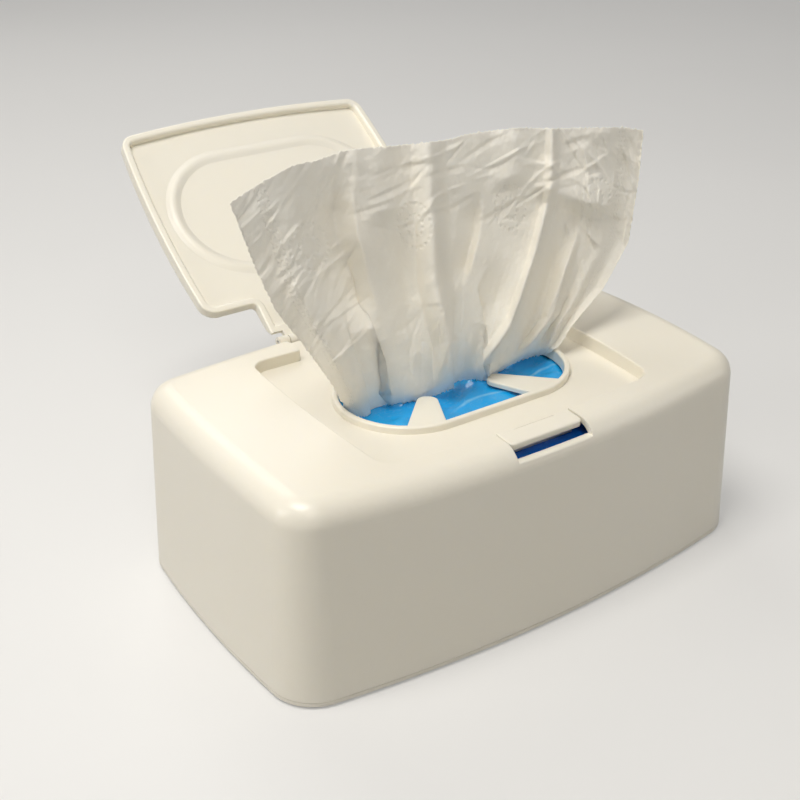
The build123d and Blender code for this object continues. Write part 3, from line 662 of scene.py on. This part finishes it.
def closed_sheet(name, grid, thickness, flat):
    """A grid of points as a thin closed mesh, with its flat coordinates as a UV map."""
    rows, cols = grid.shape[:2]
    normal = np.cross(np.gradient(grid, axis=1), np.gradient(grid, axis=0))
    normal /= np.linalg.norm(normal, axis=-1, keepdims=True)
    skins = [(grid + normal * side * thickness / 2).reshape(-1, 3) for side in (1, -1)]
    index = np.arange(rows * cols).reshape(rows, cols)
    a, b, c, d = (part.ravel() for part in (index[:-1, :-1], index[:-1, 1:], index[1:, 1:], index[1:, :-1]))
    back = rows * cols
    front_faces = np.stack([a, b, c, d], 1)
    back_faces = np.stack([d, c, b, a], 1) + back
    rim = np.concatenate([index[0, :], index[1:, -1], index[-1, -2::-1], index[-2:0:-1, 0]])
    after = np.roll(rim, -1)
    rim_faces = np.stack([rim, rim + back, after + back, after], 1)
    made = mesh_object(name, np.concatenate(skins), np.concatenate([front_faces, back_faces, rim_faces]))
    layer = made.data.uv_layers.new(name="flat")
    corners = np.empty(len(made.data.loops), np.int32)
    made.data.loops.foreach_get("vertex_index", corners)
    flat_both = np.concatenate([flat.reshape(-1, 2)] * 2)
    layer.data.foreach_set("uv", flat_both[corners].astype(np.float32).ravel())
    return made


cloth, flat_place = drawn_up_cloth()
wipe = closed_sheet("drawn_wipe", cloth, SHEET_MM * MM, flat_place)
wipe.data.materials.append(drawn_wipe_cloth)
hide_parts("wipe_sheet")
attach(wipe, "housing")
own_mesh(wipe)

# Sealing ring on the lid
HINGE_Y, HINGE_Z = 58.7, 63.3  # the lid's hinge line, in mm
LID_OPEN = math.radians(-142.8)
SEAL_STRAIGHT, SEAL_R, SEAL_Y, SEAL_Z = 18.5, 26.2, -1.0, 66.25  # its middle line and lowest level, closed
SEAL_REACH, SEAL_SINK = 3.1, 0.5  # half its width, and how deep its back lies in the lid
SEAL_ACROSS, SEAL_ROUND, SEAL_ALONG = 15, 160, 22  # points across it, round its ends and along each straight
SEAL_FEATHER = 0.06  # how far its flanks' edges lie under the lid's skin
SKIN_DEGREE = 4  # degree of the surface that stands for the skin's crown


def opened(x, y, z):
    """A point of the closed lid, in mm, carried to the open lid, in metres."""
    back, rise = y - HINGE_Y, z - HINGE_Z
    turned_y = back * math.cos(LID_OPEN) - rise * math.sin(LID_OPEN)
    turned_z = back * math.sin(LID_OPEN) + rise * math.cos(LID_OPEN)
    return Vector((x, HINGE_Y + turned_y, HINGE_Z + turned_z)) * MM


def seal_stations():
    """Places round the ring's middle line: the x that each turns about, and its way out in x and y."""
    stations = []
    for a in np.linspace(0, 2 * math.pi, SEAL_ROUND, endpoint=False):
        side = 1 if math.cos(a) >= 0 else -1
        stations.append((side * SEAL_STRAIGHT, math.cos(a), math.sin(a)))
    for x in np.linspace(-SEAL_STRAIGHT, SEAL_STRAIGHT, SEAL_ALONG)[1:-1]:
        stations += [(x, 0.0, 1.0), (x, 0.0, -1.0)]
    stations.sort(key=lambda q: math.atan2(q[2] * SEAL_R, q[0] + q[1] * SEAL_R))
    return np.array(stations)


def lid_skin(x, y):
    """Height of the closed lid's inner skin over each place, as a smooth surface fitted to the lid's mesh."""
    mesh = nodes["lid"].data
    skin = BVHTree.FromPolygons([v.co for v in mesh.vertices], [tuple(f.vertices) for f in mesh.polygons])
    inward = (opened(0, 0, 1) - opened(0, 0, 0)).normalized()
    start = SEAL_Z - 0.2
    places = zip(x.ravel(), y.ravel(), strict=True)
    level = [skin.ray_cast(opened(*place, start), inward)[3] / MM + start for place in places]
    powers = [(i, j) for i in range(SKIN_DEGREE + 1) for j in range(SKIN_DEGREE + 1 - i)]
    terms = np.stack([x.ravel() ** i * y.ravel() ** j for i, j in powers], 1)
    fit = np.linalg.lstsq(terms, np.array(level), rcond=None)[0]
    return (terms @ fit).reshape(x.shape)


def seal_ring():
    """A soft bead that follows the lid's crowned skin, with flanks that run out into it."""
    across = np.linspace(-SEAL_REACH, SEAL_REACH, SEAL_ACROSS)
    profile = (0.5 + 0.5 * np.cos(np.pi * across / SEAL_REACH)) ** 0.8
    middle_x, way_x, way_y = seal_stations().T[:, :, None]
    x = middle_x + way_x * (SEAL_R + across)
    y = SEAL_Y + way_y * (SEAL_R + across)
    skin = lid_skin(x, y)
    bead = skin - (skin - SEAL_Z) * profile + SEAL_FEATHER * (1 - profile)
    points, faces, ring = [], [], len(across) + 2
    for xs, ys, zs in zip(x, y, bead, strict=True):
        points += [opened(*p) for p in zip(xs, ys, zs, strict=True)]
        points += [opened(xs[k], ys[k], zs[k] + SEAL_SINK) for k in (-1, 0)]
    for i in range(len(x)):
        n = (i + 1) % len(x)
        for k in range(ring):
            m = (k + 1) % ring
            faces.append((i * ring + k, i * ring + m, n * ring + m, n * ring + k))
    made = mesh_object("seal_bead", points, faces)
    made.data.materials.append(seal_rubber)
    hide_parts("lid_seal")
    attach(made, "lid")


seal_ring()

# Film pack
PACK_INSET = (0.6, 0.6, 0.1)  # how far the film's middle lies inside the solid, in mm
PACK_ROUND, PACK_CELLS = 9, (150, 86, 40)
WALL_IN = 1.2  # how much further in the walls lie
SHOULDER_FORWARD, SHOULDER_UP = 4.7, 0.6  # how far the front shoulder stands out behind the tab's slot
SLOT_REACH = 30  # how far to each side of the slot it does
TUCK_REACH, TUCK_IN = 9, 4.5  # the pack's ends are tucked in at half their height
CEILING, CEILING_LIP = 61.15, 0.2  # the top's greatest height, and how much more it is at the wipe's foot
TOP_LIFT, LIP_LIFT, LIP_WIDTH = 0.25, 0.55, 3.2  # how far the top is lifted, all over and at the wipe's foot
CEILING_GIVE = 0.1  # relief that stays where the ceiling holds the top down


def grid_faces(cells, at):
    """The outward quads of a box's six gridded sides; at gives the number of the point at (i, j, k)."""
    nx, ny, nz = cells
    faces = []
    for k in (0, nz):
        for i in range(nx):
            for j in range(ny):
                quad = [at(i, j, k), at(i + 1, j, k), at(i + 1, j + 1, k), at(i, j + 1, k)]
                faces.append(quad if k else quad[::-1])
    for j in (0, ny):
        for i in range(nx):
            for k in range(nz):
                quad = [at(i, j, k), at(i + 1, j, k), at(i + 1, j, k + 1), at(i, j, k + 1)]
                faces.append(quad[::-1] if j else quad)
    for i in (0, nx):
        for j in range(ny):
            for k in range(nz):
                quad = [at(i, j, k), at(i, j + 1, k), at(i, j + 1, k + 1), at(i, j, k + 1)]
                faces.append(quad if i else quad[::-1])
    return faces


def rounded_box(half, radius, cells):
    """A box with rounded edges about its centre, as one closed grid mesh: its points, ways out and faces."""
    places = {}
    faces = grid_faces(cells, lambda *key: places.setdefault(key, len(places)))
    points = (np.array(list(places), float) / np.array(cells) * 2 - 1) * half
    core = np.clip(points, -(half - radius), half - radius)
    way = points - core
    way = way / np.maximum(np.linalg.norm(way, axis=1, keepdims=True), 1e-9)
    return core + way * radius, way, faces


def top_wrinkles(x, y):
    """Crinkles in the film's top, and its curved pulls along the mouth's front half."""
    wrinkle = 0.30 * waves(x, y, 17, 41) + 0.16 * waves(x, y, 7, 42)
    wrinkle += creases(x, y, 60, 43, (-80, 80, -45, 45), (18, 70), (2.0, 6.0), (0.15, 0.5))
    wrinkle *= 1.3
    for middle, level_y, curve, half in FILM_PULLS:
        along = x - middle / MM
        off = y - (level_y / MM - curve * MM * along**2)
        fade = np.clip(1 - (along / (half / MM)) ** 4, 0, 1)
        wrinkle += 0.55 * fade * np.where(off > 0, np.exp(-((off / 2.6) ** 2)), np.exp(-((off / 1.1) ** 2)))
    return wrinkle


def wall_wrinkles(x, y, z):
    """Crinkles in the film's sides."""
    fine = creases(x + y * 1.3, z, 80, 45, (-150, 150, -26, 26), (14, 50), (1.5, 5), (0.15, 0.6))
    return 0.3 * waves(x + y, z, 24, 44) + fine


def crinkled_pack():
    """Points and faces of the crinkled film shell, and each point's share in its top, from 0 to 1."""
    low, high = (np.array(v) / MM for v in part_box("wipes_pouch"))
    half = (high - low) / 2 - PACK_INSET
    shell, way, quads = rounded_box(half, PACK_ROUND, PACK_CELLS)
    x, y, z = shell.T
    height_share = z / half[2]
    on_top = np.clip((way[:, 2] - 0.55) / 0.4, 0, 1)
    off = on_top * top_wrinkles(x, y) + (1 - on_top) * (wall_wrinkles(x, y, z) - WALL_IN)
    # The film stands up into the front corner of the box, where it shows through the tab's slot.
    in_front = np.clip(-way[:, 1] * 2.5, 0, 1) * np.clip((height_share + 0.1) / 0.6, 0, 1)
    at_slot = np.exp(-((x / SLOT_REACH) ** 4)) * in_front
    squared = np.sign(way) * np.abs(way) ** 0.35
    corner = shell + (squared - way) * PACK_ROUND * (1, 1, 0.9)
    corner[:, 1] -= SHOULDER_FORWARD
    corner[:, 2] += SHOULDER_UP * np.clip(way[:, 2] * 3, 0, 1)
    near_end = np.clip((np.abs(x) - half[0] + TUCK_REACH) / TUCK_REACH, 0, 1)
    tuck = near_end * np.clip(1 - np.abs(height_share) * 1.15, 0, 1)
    shell = shell + way * (off * (1 - 0.6 * at_slot))[:, None]
    shell += (corner - shell) * at_slot[:, None] * (0, 1, 1)
    shell[:, 0] -= np.sign(x) * tuck * TUCK_IN
    return shell + (low + high) / 2, quads, on_top


def hold_top(shell, on_top, foot):
    """Keeps the film's top under the deck, and lifts it a little to the wipe's foot."""
    top_points = np.flatnonzero(on_top > 0.5)
    top_z = shell[top_points, 2]
    gap = shell[top_points, None, :2] - foot[None, ::3, :2]
    lip = np.exp(-((np.sqrt((gap**2).sum(-1)).min(1) / LIP_WIDTH) ** 2))
    lifted = top_z + TOP_LIFT + LIP_LIFT * lip
    ceiling = CEILING + CEILING_LIP * lip
    shell[top_points, 2] = np.minimum(lifted, ceiling + CEILING_GIVE * np.tanh(top_z - ceiling))


shell, quads, on_top = crinkled_pack()
hold_top(shell, on_top, cloth[0] / MM)
pack = mesh_object("film_pack", shell * MM, quads)
pack.data.materials.append(film)
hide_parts("wipes_pouch")
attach(pack, "base")

# Folded wipes inside the pack
LAYERS, CORNERS = 36, 40
END_IN, SIDE_IN = 5, 4  # how far the wipes stay inside the solid, in mm
LAYER_PROFILE = [(0, 0.7), (0.25, 0.15), (0.5, 0), (0.75, 0.15), (1, 0.7)]  # share of its height, and draw-in
LAYER_GAP = 0.12


def wipes_layers():
    """Points and faces of the layers, each a flat cushion a little off the one below."""
    low, high = (np.array(v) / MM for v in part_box("wipes_stack"))
    pick = np.random.default_rng(61)
    levels = np.linspace(low[2] + 1.5, high[2] - 2.5, LAYERS + 1)
    turn = np.linspace(0, 2 * np.pi, CORNERS, endpoint=False)
    round_x, round_y = (np.sign(v) * np.abs(v) ** 0.28 for v in (np.cos(turn), np.sin(turn)))
    points, faces = [], []
    for layer in range(LAYERS):
        half_x = (high[0] - low[0]) / 2 - END_IN + pick.uniform(-0.8, 0.3)
        half_y = (high[1] - low[1]) / 2 - SIDE_IN + pick.uniform(-0.8, 0.3)
        shift_x, shift_y = pick.uniform(-0.5, 0.5, 2)
        thickness = levels[layer + 1] - LAYER_GAP - levels[layer]
        for share, draw_in in LAYER_PROFILE:
            x, y = round_x * (half_x - draw_in) + shift_x, round_y * (half_y - draw_in) + shift_y
            points.append(np.stack([x, y, np.full(CORNERS, levels[layer] + thickness * share)], 1))
        first = layer * len(LAYER_PROFILE) * CORNERS
        last = first + (len(LAYER_PROFILE) - 1) * CORNERS
        for ring in range(first, last, CORNERS):
            for k in range(CORNERS):
                n = (k + 1) % CORNERS
                faces.append([ring + k, ring + n, ring + CORNERS + n, ring + CORNERS + k])
        faces.append([first + k for k in range(CORNERS)][::-1])
        faces.append([last + k for k in range(CORNERS)])
    return np.concatenate(points), faces


stack_points, stack_faces = wipes_layers()
stack = mesh_object("folded_wipes", stack_points * MM, stack_faces)
stack.data.materials.append(stack_cloth)
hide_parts("wipes_stack")
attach(stack, "base")

# Floor and light
FLOOR_GREYS = (0.52, 0.515, 0.505), (0.54, 0.535, 0.525)
FLOOR_GLOW, FLOOR_GLOW_COLOUR = 0.26, (1.0, 0.99, 0.97, 1)  # only where the camera or a reflection sees it
FLOOR_NEAR, FLOOR_FAR, FLOOR_HALF, BACKDROP_TOP, BACKDROP_R = -3.0, 1.0, 4, 3.5, 0.9
SKY_COLOUR, SKY_LIGHT, SKY_SEEN = (1.0, 0.98, 0.95, 1), 0.13, 0.6
WARM, SOFT = (1.0, 0.975, 0.93), (1.0, 0.98, 0.94)
# Each lamp's place, the point that it faces, its size in metres, its power in watts and its colour.
LAMPS = {
    "overhead": ((-0.32, -0.06, 0.93), (0, 0, 0.05), 0.4, 5.9, WARM),
    "left": ((-0.88, 0.20, 0.46), (0, 0, 0.07), 0.35, 1.9, WARM),
    "right": ((0.60, -0.50, 0.30), (0.03, 0, 0.05), 0.35, 0.6, SOFT),
    "front": ((-0.36, -0.80, 1.0), (0, 0, 0.07), 0.45, 2.3, SOFT),
    "behind": ((0.10, 0.85, 0.80), (0, 0, 0.09), 0.6, 2.6, SOFT),
}


def floor_material():
    made, tree, shader, where = material(
        "floor",
        Roughness=0.45,
        Specular_IOR_Level=0.35,
        Emission_Color=FLOOR_GLOW_COLOUR,
    )
    cloud = noise(tree, where, 3, 3)
    hue = blend_colour(tree, remap(tree, cloud, 0.3, 0.7, 0, 1), *FLOOR_GREYS)
    path = node(tree, "LightPath").outputs
    seen = maths(tree, "MAXIMUM", path["Is Camera Ray"], path["Is Glossy Ray"])
    feed(tree, shader, Base_Color=hue, Emission_Strength=product(tree, seen, FLOOR_GLOW))
    return made


def floor_sheet():
    """A level floor that curves up into a backdrop behind the object, seen from the camera."""
    across = np.array([math.cos(YAW), -math.sin(YAW)])
    away = np.array([math.sin(YAW), math.cos(YAW)])
    profile = [(FLOOR_NEAR, 0), (FLOOR_FAR, 0)]
    for a in np.linspace(0.1, math.pi / 2, 16):
        profile.append((FLOOR_FAR + BACKDROP_R * math.sin(a), BACKDROP_R - BACKDROP_R * math.cos(a)))
    profile.append((FLOOR_FAR + BACKDROP_R, BACKDROP_TOP))
    points, faces = [], []
    for far, up in profile:
        for side in (-FLOOR_HALF, FLOOR_HALF):
            spot = away * far + across * side
            points.append((spot[0], spot[1], up))
    for i in range(len(profile) - 1):
        faces.append((2 * i, 2 * i + 1, 2 * i + 3, 2 * i + 2))
    made = mesh_object("floor", points, faces)
    made.data.materials.append(floor_material())


def area_light(name, place, aim, size, power, colour):
    lamp = bpy.data.lights.new(name, "AREA")
    lamp.shape, lamp.size, lamp.energy, lamp.color = "SQUARE", size, power, colour
    made = bpy.data.objects.new(name, lamp)
    made.location = place
    made.rotation_mode = "QUATERNION"
    made.rotation_quaternion = (Vector(aim) - Vector(place)).to_track_quat("-Z", "Y")
    bpy.context.scene.collection.objects.link(made)


def pale_world():
    """A weak even light, which the camera sees as a pale background."""
    world = bpy.data.worlds.new("world")
    world.use_nodes = True
    tree = world.node_tree
    sky = tree.nodes["Background"]
    sky.inputs["Color"].default_value = SKY_COLOUR
    seen = node(tree, "LightPath").outputs["Is Camera Ray"]
    tree.links.new(maths(tree, "MULTIPLY_ADD", seen, SKY_SEEN, SKY_LIGHT), sky.inputs["Strength"])
    bpy.context.scene.world = world


floor_sheet()
for name, row in LAMPS.items():
    area_light(name, *row)
pale_world()
bpy.context.scene.view_settings.view_transform = "Standard"
